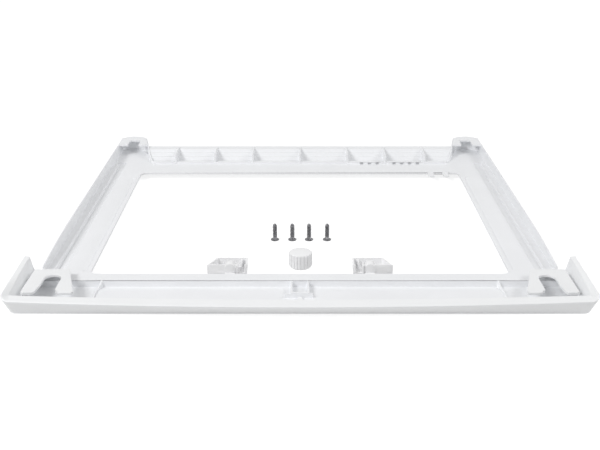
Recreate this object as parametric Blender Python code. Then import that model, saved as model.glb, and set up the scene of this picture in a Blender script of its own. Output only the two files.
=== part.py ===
# Stacking kit that holds a dryer on a washing machine: a moulded tray frame, a front fascia, two horseshoe
# catches for the front feet, and the loose set of two brackets, one ribbed cap and four screws.
# Metres, +Z up, +Y to the rear. The origin is at the middle of the footprint, on the standing plane.
import bpy
import bmesh
from math import asin, cos, pi, sin, sqrt
from mathutils import Vector

# Overall sizes
KIT_WIDTH = 0.600
KIT_DEPTH = 0.561
FIT_GAP = 0.0003
CUT_OVERRUN = 0.002
SINK = 0.0006

# Frame: deck, walls and opening
FRAME_INSET = 0.02425
SIDE_RAIL_WIDTH = 0.049
WALL = 0.002
WALL_TOP = 0.027
WALL_FRONT_TOP = 0.0218
WALL_TAPER_LENGTH = 0.130
WALL_TAPER_STEPS = 6
DECK_TOP = 0.0105
DECK_THICKNESS = 0.0026
OPENING_CORNER = 0.008
LEDGE_WIDTH = 0.0092
LEDGE_RISE = 0.003
LEDGE_REAR_SETBACK = 0.0175
TROUGH_WIDTH = 0.0078
TROUGH_DEPTH = 0.0012
TROUGH_SLOPE = 0.0008
SUPPORT_RIB = 0.0022
SUPPORT_RIB_SETBACK = 0.010
SUPPORT_WEB_COUNT = 5
GROOVE_WIDTH = 0.0077
GROOVE_DEPTH = 0.0019
GROOVE_STEP = 0.0004
GROOVE_END_LENGTH = 0.007
GROOVE_END_STEPS = 4
GROOVE_EDGE_STRIP = 0.0052
GROOVE_FRONT_SETBACK = 0.0065
GROOVE_REAR_SETBACK = 0.022
RECESS_LENGTH = 0.0235
RECESS_DEPTH = 0.0019
RECESS_OFFSET = 0.0035

# Frame: front lip, gutter and socket
LIP_DEPTH = 0.0175
GUTTER_FLOOR = 0.003
GUTTER_INSET = 0.014
GUTTER_DEPTH = 0.0557
RISER_WALL = 0.0024
GUSSET_INSET = 0.06525
GUSSET_WALL = 0.002
GUSSET_SLANT = 0.004
GUSSET_REACH = 0.012
GUSSET_TAIL_HEIGHT = 0.0015
SOCKET_WIDTH = 0.0195
SOCKET_DEPTH = 0.0265
SOCKET_WALL = 0.0018
SOCKET_TOP = 0.0094
SOCKET_PLATE_LEFT = 0.0165
SOCKET_PLATE_RIGHT = 0.0138
SOCKET_PLATE_TOP = 0.0076

# Frame: rear rail with its steps, ribs, slots and tongues
RAIL_DEPTH = 0.089
RAIL_TOP = 0.023
RAIL_LIP_SETBACK = 0.0395
RAIL_LIP_WIDTH = 0.0045
RAIL_LIP_RISE = 0.003
TROUGH_RISE = 0.0008
STEP_COUNT = 3
STEP_TREAD = 0.0065
STEP_RUN = 0.003
RAIL_CREST = 0.0175
RAIL_RIB = 0.002
RAIL_RIB_TOP = 0.025
RAIL_RIB_PLACES = (0.0697, 0.1253, 0.183)
SLOT_WIDTH = 0.0046
SLOT_HEIGHT = 0.0017
SLOT_SILL = 0.001
SLOT_PITCH = 0.0115
SLOT_GROUPS = ((0.1025, 3), (0.1560, 4))
TONGUE_WIDTH = 0.0078
TONGUE_REACH = 0.015
TONGUE_THICKNESS = 0.002
TONGUE_PLACES = (0.1872, 0.2083)

# Frame: rear foot pockets
POCKET_WIDTH = 0.0385
POCKET_PROJECTION = 0.039
POCKET_BACK_SAGITTA = 0.0105
POCKET_ROOM_BACK = 0.2668
POCKET_ROOM_SAGITTA = 0.012
ROOF_THICKNESS = 0.0028
ROOF_LENGTH = 0.045
ROOF_FLARE = 0.0075
NOTCH_WIDTH = 0.0166
NOTCH_LENGTH = 0.0235
NOTCH_OFFSET = 0.0038
NOTCH_CORNER = 0.003
SWEEP_LENGTH = 0.048
SWEEP_FLARE = 0.016
SWEEP_BEND_SHARE = 1.3
SWEEP_FALL_SHARE = 1.2
SWEEP_WALL = 0.002

# Front fascia
FASCIA_HEIGHT = 0.018
FASCIA_BOW = 0.0118
FASCIA_LEAN = 0.0075
FASCIA_EDGE_ROUND = 0.0014
FASCIA_TOP_WIDTH = 0.0132
FASCIA_TOP_WIDTH_MIDDLE = 0.0154
FASCIA_WALL = 0.0025
FASCIA_BACK_FOOT = 0.009
HOLLOW_SETBACK = 0.0018
CHEEK_LEAN = 0.0056
CHEEK_LENGTH = 0.086
CHEEK_RISE = 0.0078
CHEEK_FRONT_RISE = 0.004
CHEEK_TOP_WIDTH = 0.0064
CHEEK_RIM_FALL = 0.0008
CHEEK_FOOT = 0.0072
CHEEK_STEPS = 4
CORNER_STEPS = 5
FRONT_STEPS = 8
CORNER_RADIUS = 0.008
INNER_CORNER_RADIUS = 0.001
CLIP_WIDTH = 0.0052
CLIP_TOP = 0.0052
CLIP_NOSE = 0.0015

# Front foot catches
CATCH_TOP = 0.019
CATCH_PLATE = 0.003
CATCH_LENGTH = 0.0568
CATCH_REAR_LAP = 0.011
CATCH_INSET = 0.002
CATCH_WIDTH_REAR = 0.038
CATCH_WIDTH_FRONT = 0.054
CATCH_WALL = 0.0024
CATCH_SHOULDER = 0.0022
CATCH_CORNER = 0.0035
CATCH_SLOT_WIDTH = 0.0178
CATCH_SLOT_INSET = 0.0252
CATCH_BRIDGE = 0.0142
CATCH_TIP_ROUND = 0.0092
CATCH_FRONT_ROUND = 0.002
CATCH_SLOT_FLARE = 0.0018

# Loose brackets
BRACKET_LENGTH = 0.0438
BRACKET_DEPTH = 0.0205
BRACKET_HEIGHT = 0.0114
BRACKET_WALL = 0.002
BRACKET_SLANT = 0.0095
BRACKET_BOSS_HEIGHT = 0.013
BRACKET_BOSS_WIDTH = 0.0156
BRACKET_BOSS_OFFSET = 0.0183
BRACKET_BOSS_PROUD = 0.0028
BRACKET_GAP_WIDTH = 0.007
BRACKET_HOOK_WIDTH = 0.0115
BRACKET_HOOK_REACH = 0.0062
BRACKET_HOOK_HEIGHT = 0.0024
BRACKET_X = 0.0805
BRACKET_SETBACK = 0.0301

# Loose ribbed cap
CAP_RADIUS = 0.0133
CAP_HEIGHT = 0.0176
CAP_WALL = 0.0018
CAP_RIB_COUNT = 24
CAP_RIB_PROUD = 0.0005
CAP_EDGE_ROUND = 0.0025
CAP_RING_HEIGHT = 0.0075
CAP_RING_DEPTH = 0.0005
CAP_X = 0.0005
CAP_SETBACK = 0.0418

# Loose screws
SCREW_HEAD_RADIUS = 0.005
SCREW_HEAD_HEIGHT = 0.0034
SCREW_RIM_LOW = 0.0006
SCREW_RIM_HIGH = 0.0016
SCREW_LENGTH = 0.0207
SCREW_CORE_RADIUS = 0.0021
SCREW_THREAD_RADIUS = 0.0027
SCREW_THREAD_PITCH = 0.0018
SCREW_TIP_LENGTH = 0.0018
SCREW_POINT_RADIUS = 0.0015
SCREW_RECESS_RADIUS = 0.0022
SCREW_RECESS_DEPTH = 0.0018
SCREW_SETBACK = 0.1179
SCREW_PLACES = (-0.0302, -0.0093, 0.0108, 0.0325)

# Places that follow from the sizes above
HALF_FRAME = KIT_WIDTH / 2 - FRAME_INSET
HALF_GUTTER = KIT_WIDTH / 2 - GUTTER_INSET
HALF_OPENING = HALF_FRAME - SIDE_RAIL_WIDTH
FOOT_HALF = KIT_WIDTH / 2 - CHEEK_LEAN
REAR_EDGE = KIT_DEPTH / 2 - POCKET_PROJECTION
OPENING_REAR = REAR_EDGE - RAIL_DEPTH
LIP_LINE = OPENING_REAR + RAIL_LIP_SETBACK
FACE_FOOT = -KIT_DEPTH / 2 + FASCIA_BOW + FASCIA_LEAN
GUTTER_FRONT = FACE_FOOT + FASCIA_WALL + FIT_GAP
RISER_FACE = FACE_FOOT + GUTTER_DEPTH
OPENING_FRONT = RISER_FACE + LIP_DEPTH
DECK_UNDERSIDE = DECK_TOP - DECK_THICKNESS
POCKET_INNER = HALF_FRAME - POCKET_WIDTH
POCKET_CORNER = KIT_DEPTH / 2 - POCKET_BACK_SAGITTA
ROOF_FRONT = KIT_DEPTH / 2 - ROOF_LENGTH
CATCH_REAR = RISER_FACE + CATCH_REAR_LAP
CATCH_OUTER = HALF_GUTTER - CATCH_INSET
CATCH_SLOT_CENTRE = CATCH_OUTER - CATCH_SLOT_INSET
WALL_FRONT = CATCH_REAR + FIT_GAP
BRACKET_Y = OPENING_FRONT + BRACKET_SETBACK
CAP_Y = OPENING_FRONT + CAP_SETBACK
SCREW_Y = OPENING_FRONT + SCREW_SETBACK


def clear_scene():
    for item in list(bpy.data.objects):
        bpy.data.objects.remove(item, do_unlink=True)


def finish(name, colour, roughness, metallic=0.0):
    material = bpy.data.materials.new(name)
    material.use_nodes = True
    shader = material.node_tree.nodes["Principled BSDF"]
    shader.inputs["Base Color"].default_value = (*colour, 1.0)
    shader.inputs["Roughness"].default_value = roughness
    shader.inputs["Metallic"].default_value = metallic
    return material


def object_from(bm, name):
    bmesh.ops.recalc_face_normals(bm, faces=bm.faces)
    mesh = bpy.data.meshes.new(name)
    bm.to_mesh(mesh)
    bm.free()
    item = bpy.data.objects.new(name, mesh)
    bpy.context.scene.collection.objects.link(item)
    return item


def loft(name, rings, closed=False):
    """Join rings of equally many points into one skin, and cap the two ends unless it closes on itself."""
    bm = bmesh.new()
    rows = [[bm.verts.new(point) for point in ring] for ring in rings]
    count = len(rows[0])
    pairs = list(zip(rows, rows[1:]))
    if closed:
        pairs.append((rows[-1], rows[0]))
    for one, two in pairs:
        for k in range(count):
            n = (k + 1) % count
            bm.faces.new((one[k], one[n], two[n], two[k]))
    if not closed:
        bm.faces.new(rows[0])
        bm.faces.new(rows[-1])
    return object_from(bm, name)


def along_x(name, outline, start, end):
    return loft(name, [[(x, y, z) for y, z in outline] for x in (start, end)])


def along_y(name, outline, start, end):
    return loft(name, [[(x, y, z) for x, z in outline] for y in (start, end)])


def along_z(name, outline, start, end):
    return loft(name, [[(x, y, z) for x, y in outline] for z in (start, end)])


def turned(name, profile, sides, centre, sharp=0.6):
    """Turn a profile of (radius, height) points, bottom to top, round an upright axis."""
    rings = []
    for radius, height in profile:
        ring = []
        for k in range(sides):
            angle = 2 * pi * k / sides
            ring.append((centre[0] + radius * cos(angle), centre[1] + radius * sin(angle), height))
        rings.append(ring)
    item = loft(name, rings)
    item.data.shade_smooth()
    item.data.set_sharp_from_angle(angle=sharp)
    return item


def arc(centre, radius, first, last, steps):
    """Points on a circle from one angle to another, both in quarter turns."""
    points = []
    for k in range(steps + 1):
        angle = pi / 2 * (first + (last - first) * k / steps)
        points.append((centre[0] + radius * cos(angle), centre[1] + radius * sin(angle)))
    return points


def mirrored(outline):
    return [(-x, y) for x, y in reversed(outline)]


def combine(body, tools, operation):
    """Join the tools to the body, or cut them from it, in one exact Boolean, and keep only the result."""
    group = bpy.data.collections.new(operation)
    bpy.context.scene.collection.children.link(group)
    for tool in tools:
        group.objects.link(tool)
    modifier = body.modifiers.new(operation, "BOOLEAN")
    modifier.operation = operation
    modifier.operand_type = "COLLECTION"
    modifier.collection = group
    modifier.solver = "EXACT"
    modifier.use_self = True
    result = bpy.data.meshes.new_from_object(body.evaluated_get(bpy.context.evaluated_depsgraph_get()))
    body.modifiers.clear()
    body.data = result
    for tool in tools:
        bpy.data.objects.remove(tool, do_unlink=True)
    bpy.data.collections.remove(group)
    return body


def join(body, *tools):
    return combine(body, tools, "UNION")


def cut(body, *tools):
    return combine(body, tools, "DIFFERENCE")


def dress(item, material):
    item.data.materials.clear()
    item.data.materials.append(material)
    return item


def round_rectangle(half_width, front, rear, radius, steps=5):
    outline = []
    outline += arc((half_width - radius, rear - radius), radius, 0, 1, steps)
    outline += arc((-half_width + radius, rear - radius), radius, 1, 2, steps)
    outline += arc((-half_width + radius, front + radius), radius, 2, 3, steps)
    outline += arc((half_width - radius, front + radius), radius, 3, 4, steps)
    return outline


# Rear foot pocket: the wall and floor outlines are shared by the deck, the back wall and the roof
def pocket_back(inset, steps=10):
    """Round back of the right pocket, from its outer corner to its inner corner."""
    half = POCKET_WIDTH / 2
    radius = (half ** 2 + POCKET_BACK_SAGITTA ** 2) / (2 * POCKET_BACK_SAGITTA)
    middle = HALF_FRAME - half
    centre_y = KIT_DEPTH / 2 - radius
    reach = asin((half - inset) / (radius - inset)) * 2 / pi
    return arc((middle, centre_y), radius - inset, 1 - reach, 1 + reach, steps)


def pocket_room(proud, steps=10):
    """Arched back of the space for the foot, from its outer end to its inner end; proud moves it outwards."""
    half = POCKET_WIDTH / 2 - WALL / 2
    radius = (half ** 2 + POCKET_ROOM_SAGITTA ** 2) / (2 * POCKET_ROOM_SAGITTA)
    middle = HALF_FRAME - POCKET_WIDTH / 2
    centre_y = POCKET_ROOM_BACK - radius
    reach = asin(half / (radius + proud)) * 2 / pi
    return arc((middle, centre_y), radius + proud, 1 - reach, 1 + reach, steps)


def sweep_line(steps=6):
    """Centre line of the pocket's inner wall from the roof's front edge to its toe on the flange."""
    line = []
    for k in range(steps + 1):
        share = k / steps
        x = POCKET_INNER - ROOF_FLARE - SWEEP_FLARE * share ** SWEEP_BEND_SHARE
        y = ROOF_FRONT - SWEEP_LENGTH * share
        top = WALL_TOP - (WALL_TOP - DECK_TOP - SINK) * sin(share * pi / 2) ** SWEEP_FALL_SHARE
        line.append((x, y, top))
    return line


def swept_wall(name, line, wall, bottom):
    """Wall of one thickness along a plan line whose points carry the height of the top edge."""
    rings = []
    for k, (x, y, top) in enumerate(line):
        before = line[max(k - 1, 0)]
        after = line[min(k + 1, len(line) - 1)]
        along = Vector((after[0] - before[0], after[1] - before[1])).normalized()
        side = Vector((-along.y, along.x)) * wall / 2
        rings.append([(x - side.x, y - side.y, bottom), (x + side.x, y + side.y, bottom),
                      (x + side.x, y + side.y, top), (x - side.x, y - side.y, top)])
    return loft(name, rings)


def deck():
    """Flat deck round the opening, with the two pocket floors reaching back from it."""
    floor_inner = [(x, y) for x, y, top in sweep_line()]
    arch = pocket_room(WALL / 2)
    right = [(HALF_FRAME - WALL / 2, RISER_FACE), (HALF_FRAME - WALL / 2, arch[0][1])] + arch
    right += [(POCKET_INNER + WALL / 2, arch[-1][1]), floor_inner[0], floor_inner[3]]
    right += [(floor_inner[3][0], LIP_LINE + RAIL_LIP_WIDTH)]
    outline = right + mirrored(right)
    return along_z("base_frame", outline, DECK_UNDERSIDE, DECK_TOP)


def opening_cutter():
    outline = round_rectangle(HALF_OPENING, OPENING_FRONT, OPENING_REAR, OPENING_CORNER)
    return along_z("opening", outline, -CUT_OVERRUN, DECK_TOP + CUT_OVERRUN)


def side_walls():
    """Upstanding rim of each side rail: it stands on the ground line and falls away towards the catch."""
    outline = [(WALL_FRONT, 0), (POCKET_CORNER, 0), (POCKET_CORNER, WALL_TOP)]
    for k in range(WALL_TAPER_STEPS + 1):
        share = 1 - k / WALL_TAPER_STEPS
        fall = (WALL_TOP - WALL_FRONT_TOP) * (1 - share) ** 2
        outline.append((WALL_FRONT + WALL_TAPER_LENGTH * share, WALL_TOP - fall))
    return [along_x("side_wall", outline, side * (HALF_FRAME - WALL), side * HALF_FRAME) for side in (-1, 1)]


def ledges():
    """Raised strip at the foot of each side wall."""
    inner = HALF_FRAME - WALL - LEDGE_WIDTH
    outer = HALF_FRAME - WALL / 2
    top = DECK_TOP + LEDGE_RISE
    low = DECK_TOP - SINK
    end = LIP_LINE - LEDGE_REAR_SETBACK
    items = []
    for side in (-1, 1):
        outline = [(side * inner, low), (side * inner, DECK_TOP), (side * (inner + LEDGE_RISE / 5), top),
                   (side * outer, top), (side * outer, low)]
        items.append(along_y("ledge", outline, WALL_FRONT, end))
    return items


def grooves():
    """Long hollow beside the opening on each side rail: steep on its inner side, then a ramp outwards."""
    inner = HALF_OPENING + GROOVE_EDGE_STRIP
    front = OPENING_FRONT + GROOVE_FRONT_SETBACK
    rear = OPENING_REAR - GROOVE_REAR_SETBACK
    items = []
    for side in (-1, 1):
        rings = []
        for start, turn in ((front, 1), (rear, -1)):
            ring_set = []
            for k in range(GROOVE_END_STEPS + 1):
                share = k / GROOVE_END_STEPS
                size = max(sin(share * pi / 2), GROOVE_STEP / GROOVE_DEPTH / 2)
                y = start + turn * GROOVE_END_LENGTH * (1 - cos(share * pi / 2))
                middle = inner + GROOVE_WIDTH / 2
                left = middle - GROOVE_WIDTH / 2 * size
                right = middle + GROOVE_WIDTH / 2 * size
                bottom = DECK_TOP - GROOVE_DEPTH * size
                ring_set.append([(side * left, y, DECK_TOP + CUT_OVERRUN), (side * left, y, DECK_TOP),
                                 (side * (left + GROOVE_STEP * size), y, bottom), (side * right, y, DECK_TOP),
                                 (side * right, y, DECK_TOP + CUT_OVERRUN)])
            rings += ring_set if turn > 0 else list(reversed(ring_set))
        items.append(loft("groove", rings))
    return items


def troughs():
    """Shallow trough along the inner side of each ledge, its side towards the opening a little sloped."""
    near = HALF_FRAME - WALL - LEDGE_WIDTH - SINK / 4
    far = near - TROUGH_WIDTH
    floor = DECK_TOP - TROUGH_DEPTH
    items = []
    for side in (-1, 1):
        outline = [(side * far, DECK_TOP + SINK), (side * far, DECK_TOP), (side * (far + TROUGH_SLOPE), floor),
                   (side * near, floor), (side * near, DECK_TOP + SINK)]
        items.append(along_y("trough", outline, WALL_FRONT + SINK, LIP_LINE - LEDGE_REAR_SETBACK + 2 * SINK))
    return items


def recesses():
    """Small blind recess on the deck behind the end of each ledge."""
    outer = HALF_FRAME - WALL - LEDGE_WIDTH + RECESS_OFFSET
    front = LIP_LINE - LEDGE_REAR_SETBACK + SINK
    items = []
    for side in (-1, 1):
        inner = outer - RECESS_OFFSET - TROUGH_WIDTH
        outline = [(side * outer, front), (side * outer, front + RECESS_LENGTH),
                   (side * inner, front + RECESS_LENGTH), (side * inner, front)]
        items.append(along_z("recess", outline, DECK_TOP - RECESS_DEPTH, DECK_TOP + CUT_OVERRUN))
    return items


def front_rail():
    """Riser from the lip down to the gutter, and the gutter floor out to the fascia."""
    outline = [(GUTTER_FRONT, 0), (RISER_FACE + RISER_WALL, 0), (RISER_FACE + RISER_WALL, DECK_TOP - SINK),
               (RISER_FACE, DECK_TOP - SINK), (RISER_FACE, GUTTER_FLOOR), (GUTTER_FRONT, GUTTER_FLOOR)]
    return along_x("front_rail", outline, -HALF_GUTTER, HALF_GUTTER)


def gussets():
    """Slanted gusset with a hollow upper edge at each end of the gutter, and its low tail to the fascia."""
    items = []
    for side in (-1, 1):
        line = []
        for k in range(7):
            share = k / 6
            fall = 1 - sin(share * pi / 2)
            top = GUTTER_FLOOR + GUSSET_TAIL_HEIGHT + (DECK_TOP - GUTTER_FLOOR - GUSSET_TAIL_HEIGHT) * fall
            x = HALF_FRAME - GUSSET_INSET + GUSSET_SLANT * share
            line.append((side * x, RISER_FACE + SINK - GUSSET_REACH * share, top))
        line.append((line[-1][0], GUTTER_FRONT + FASCIA_BACK_FOOT + FIT_GAP, line[-1][2]))
        items.append(swept_wall("gusset", line, GUSSET_WALL, GUTTER_FLOOR - SINK))
    return items


def socket():
    """Open box in the middle of the gutter that takes the fascia's clip."""
    front = RISER_FACE - SOCKET_DEPTH
    outer = [(-SOCKET_WIDTH / 2, RISER_FACE + SINK), (-SOCKET_WIDTH / 2, front),
             (SOCKET_WIDTH / 2, front), (SOCKET_WIDTH / 2, RISER_FACE + SINK)]
    inset = SOCKET_WIDTH / 2 - SOCKET_WALL
    inner = [(-inset, RISER_FACE + CUT_OVERRUN), (-inset, front + SOCKET_WALL),
             (inset, front + SOCKET_WALL), (inset, RISER_FACE + CUT_OVERRUN)]
    box = along_z("socket", outer, GUTTER_FLOOR - SINK, SOCKET_TOP)
    plate = [(-SOCKET_PLATE_LEFT, front + SOCKET_WALL), (-SOCKET_PLATE_LEFT, front),
             (SOCKET_PLATE_RIGHT, front), (SOCKET_PLATE_RIGHT, front + SOCKET_WALL)]
    join(box, along_z("socket_plate", plate, GUTTER_FLOOR - SINK, SOCKET_PLATE_TOP))
    return cut(box, along_z("socket_hollow", inner, GUTTER_FLOOR - 2 * SINK, SOCKET_TOP + CUT_OVERRUN))


def rear_rail():
    """Stepped rear rail: a low lip, a trough, three steps up to the crest and the outer skirt."""
    lip_top = DECK_TOP + RAIL_LIP_RISE
    trough = DECK_TOP + TROUGH_RISE
    first = REAR_EDGE - RAIL_CREST - (STEP_COUNT - 1) * STEP_TREAD - STEP_RUN / 2
    rise = (RAIL_TOP - trough) / STEP_COUNT
    over = [(LIP_LINE, DECK_TOP - SINK), (LIP_LINE, lip_top), (LIP_LINE + RAIL_LIP_WIDTH, lip_top),
            (LIP_LINE + RAIL_LIP_WIDTH + TROUGH_RISE, trough)]
    under = [(LIP_LINE, DECK_UNDERSIDE + SINK)]
    for k in range(STEP_COUNT):
        y = first + k * STEP_TREAD
        over += [(y, trough + k * rise), (y + STEP_RUN, trough + (k + 1) * rise)]
        low = max(trough + k * rise - WALL, DECK_UNDERSIDE + SINK)
        under += [(y + WALL, low), (y + WALL + STEP_RUN, trough + (k + 1) * rise - WALL)]
    over += [(REAR_EDGE, RAIL_TOP), (REAR_EDGE, 0), (REAR_EDGE - WALL, 0)]
    under.append((REAR_EDGE - WALL, RAIL_TOP - WALL))
    half = HALF_FRAME - POCKET_WIDTH
    return along_x("rear_rail", over + list(reversed(under)), -half, half)


def rail_ribs():
    top = RAIL_RIB_TOP
    outline = [(LIP_LINE - SINK, DECK_TOP - SINK), (LIP_LINE - SINK, top),
               (REAR_EDGE - RAIL_CREST / 2, top), (REAR_EDGE - RAIL_CREST / 2, DECK_TOP - SINK)]
    places = [0] + [side * place for place in RAIL_RIB_PLACES for side in (-1, 1)]
    return [along_x("rail_rib", outline, x - RAIL_RIB / 2, x + RAIL_RIB / 2) for x in places]


def rail_slots():
    """Two groups of small slots through the rail's low lip."""
    low = DECK_TOP + (RAIL_LIP_RISE - SLOT_HEIGHT) / 2
    high = low + SLOT_HEIGHT
    rear = LIP_LINE + RAIL_LIP_WIDTH / 2
    outline = [(LIP_LINE - SLOT_SILL, DECK_UNDERSIDE - SINK), (rear, DECK_UNDERSIDE - SINK), (rear, high),
               (LIP_LINE - SLOT_SILL, high)]
    items = []
    for middle, count in SLOT_GROUPS:
        for k in range(count):
            x = middle + (k - (count - 1) / 2) * SLOT_PITCH
            items.append(along_x("slot", outline, x - SLOT_WIDTH / 2, x + SLOT_WIDTH / 2))
    return items


def tongues():
    """Two tongues that reach into the opening from the rear rail."""
    items = []
    for x in TONGUE_PLACES:
        half = TONGUE_WIDTH / 2
        outline = [(x - half, OPENING_REAR + OPENING_CORNER), (x - half, OPENING_REAR - TONGUE_REACH + half / 2),
                   (x - half / 2, OPENING_REAR - TONGUE_REACH), (x + half, OPENING_REAR - TONGUE_REACH),
                   (x + half, OPENING_REAR + OPENING_CORNER)]
        items.append(along_z("tongue", outline, DECK_TOP - SINK / 2 - TONGUE_THICKNESS, DECK_TOP - SINK / 2))
    return items


def pocket_clearance(side):
    """Space of one pocket above its floor, cut before its own walls are set."""
    line = [(x, y) for x, y, top in sweep_line()]
    arch = pocket_room(WALL / 2)
    outline = [(HALF_FRAME - WALL, line[-1][1]), (HALF_FRAME - WALL, arch[0][1])]
    outline += arch + [(POCKET_INNER + WALL / 2, arch[-1][1])] + line
    if side < 0:
        outline = mirrored(outline)
    return along_z("pocket_clearance", outline, DECK_TOP, WALL_TOP + CUT_OVERRUN)


def pocket_walls(side):
    """Round back wall and inner wall of one pocket, and its roof with the notch for the foot's neck."""
    outer = pocket_back(0)
    inner = pocket_back(WALL)
    back = outer + list(reversed(inner))
    arch = pocket_room(WALL)
    room_front = pocket_room(0)
    inner_end = POCKET_CORNER + WALL / 2
    share = (inner_end - room_front[-1][1]) / (inner_end - ROOF_FRONT)
    meets = POCKET_INNER + WALL / 2 - (ROOF_FLARE + WALL / 2) * share
    room = arch + [(meets, arch[-1][1]), (meets, room_front[-1][1])] + list(reversed(room_front))
    inner_line = [(POCKET_INNER + WALL / 2, POCKET_CORNER + WALL / 2, WALL_TOP - SINK)]
    inner_line += [(x, y, min(top, WALL_TOP - SINK)) for x, y, top in sweep_line()]
    roof = [(HALF_FRAME - WALL / 2, ROOF_FRONT), (HALF_FRAME - WALL / 2, POCKET_CORNER)] + pocket_back(SINK)[1:-1]
    roof += [(POCKET_INNER, POCKET_CORNER), (POCKET_INNER - ROOF_FLARE, ROOF_FRONT)]
    middle = HALF_FRAME - POCKET_WIDTH / 2 - NOTCH_OFFSET
    half = NOTCH_WIDTH / 2
    corner_x = half - NOTCH_CORNER
    corner_y = ROOF_FRONT + NOTCH_LENGTH - NOTCH_CORNER
    crown = arc((middle - corner_x, corner_y), NOTCH_CORNER, 2, 1, 4)
    crown += arc((middle + corner_x, corner_y), NOTCH_CORNER, 1, 0, 4)
    roof += [(middle - half, ROOF_FRONT)] + crown + [(middle + half, ROOF_FRONT)]
    if side < 0:
        back = mirrored(back)
        room = mirrored(room)
        roof = mirrored(roof)
        inner_line = [(-x, y, top) for x, y, top in inner_line]
    return [along_z("pocket_back", back, 0, WALL_TOP - SINK / 2),
            along_z("pocket_room", room, DECK_UNDERSIDE - SINK, WALL_TOP - SINK),
            swept_wall("pocket_inner", inner_line, SWEEP_WALL, DECK_UNDERSIDE + SINK),
            along_z("pocket_roof", roof, WALL_TOP - ROOF_THICKNESS, WALL_TOP)]


def support_ribs():
    """Ribs on the underside, set back from the opening's edge, that carry the deck."""
    x = HALF_OPENING + SUPPORT_RIB_SETBACK
    front = OPENING_FRONT - SUPPORT_RIB_SETBACK
    rear = OPENING_REAR + SUPPORT_RIB_SETBACK
    top = DECK_UNDERSIDE + SINK
    bars = []
    for side in (-1, 1):
        bars.append((side * x, side * (x + SUPPORT_RIB), RISER_FACE + SINK, LIP_LINE))
        for k in range(SUPPORT_WEB_COUNT):
            y = front + (rear - front) * (2 * k + 1) / (2 * SUPPORT_WEB_COUNT)
            bars.append((side * x, side * (HALF_FRAME - WALL / 2), y, y + SUPPORT_RIB))
    bars.append((-HALF_FRAME + WALL / 2, HALF_FRAME - WALL / 2, LIP_LINE, LIP_LINE + SUPPORT_RIB))
    items = []
    for left, right, near, far in bars:
        outline = [(left, near), (right, near), (right, far), (left, far)]
        items.append(along_z("support_rib", outline, 0, top))
    return items


def make_base_frame(material):
    body = deck()
    join(body, rear_rail(), front_rail(), *side_walls(), *ledges(), *support_ribs())
    cut(body, opening_cutter(), pocket_clearance(-1), pocket_clearance(1))
    join(body, *pocket_walls(-1), *pocket_walls(1), *rail_ribs(), *tongues(), socket(), *gussets())
    cut(body, *grooves(), *troughs(), *recesses(), *rail_slots())
    return dress(body, material)


# Front fascia: lanes of points run from one cheek's end, round the corner and along the bowed front
def fascia_lane(front_line, side_line, front_height, side_height):
    """Right half of one lane: the offsets outward from the foot line, and the heights, at front and side.

    Each argument is a function of the share of the way from the middle to the corner, or from the corner
    to the end of the cheek.
    """
    lane = []
    out_side = side_line(0)
    out_front = front_line(1)
    radius = CORNER_RADIUS if out_side > -SINK else INNER_CORNER_RADIUS
    centre_x = FOOT_HALF + out_side - radius
    centre_y = FACE_FOOT - out_front + radius
    end_y = FACE_FOOT + CHEEK_LENGTH
    for k in range(CHEEK_STEPS, 0, -1):
        share = k / CHEEK_STEPS
        lane.append((FOOT_HALF + side_line(share), centre_y + (end_y - centre_y) * share, side_height(share)))
    for k in range(CORNER_STEPS + 1):
        share = k / CORNER_STEPS
        angle = -pi / 2 * share
        height = side_height(0) + (front_height(1) - side_height(0)) * share
        lane.append((centre_x + radius * cos(angle), centre_y + radius * sin(angle), height))
    for k in range(1, FRONT_STEPS + 1):
        share = 1 - k / FRONT_STEPS
        lane.append((centre_x * share, FACE_FOOT - front_line(share), front_height(share)))
    return lane


def whole_lane(half):
    return half + [(-x, y, z) for x, y, z in reversed(half[:-1])]


def bow(share):
    return FASCIA_BOW * (1 - share ** 2)


def cheek_top(share):
    """Height of the cheek's outer rim, for a share of the way from the corner to its rear end."""
    return FASCIA_HEIGHT + CHEEK_FRONT_RISE + (CHEEK_RISE - CHEEK_FRONT_RISE) * share


def cheek_rim(share):
    """Height of the rim's inner edge, which comes down to the top of the front bar."""
    return FASCIA_HEIGHT + (CHEEK_RISE - CHEEK_RIM_FALL) * sin(share * pi / 2)


def rear_slope(share, height):
    """Offset of the bar's sloping back at a height, for a share of the way to the corner."""
    width = FASCIA_TOP_WIDTH + (FASCIA_TOP_WIDTH_MIDDLE - FASCIA_TOP_WIDTH) * (1 - share ** 2)
    top = FASCIA_LEAN + bow(share) - width
    under = GUTTER_FLOOR + FIT_GAP
    return -FASCIA_BACK_FOOT + (top + FASCIA_BACK_FOOT) * (height - under) / (FASCIA_HEIGHT - under)


def face_slope(share, height):
    return (FASCIA_LEAN + bow(share)) * height / (FASCIA_HEIGHT - FASCIA_EDGE_ROUND)


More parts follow.
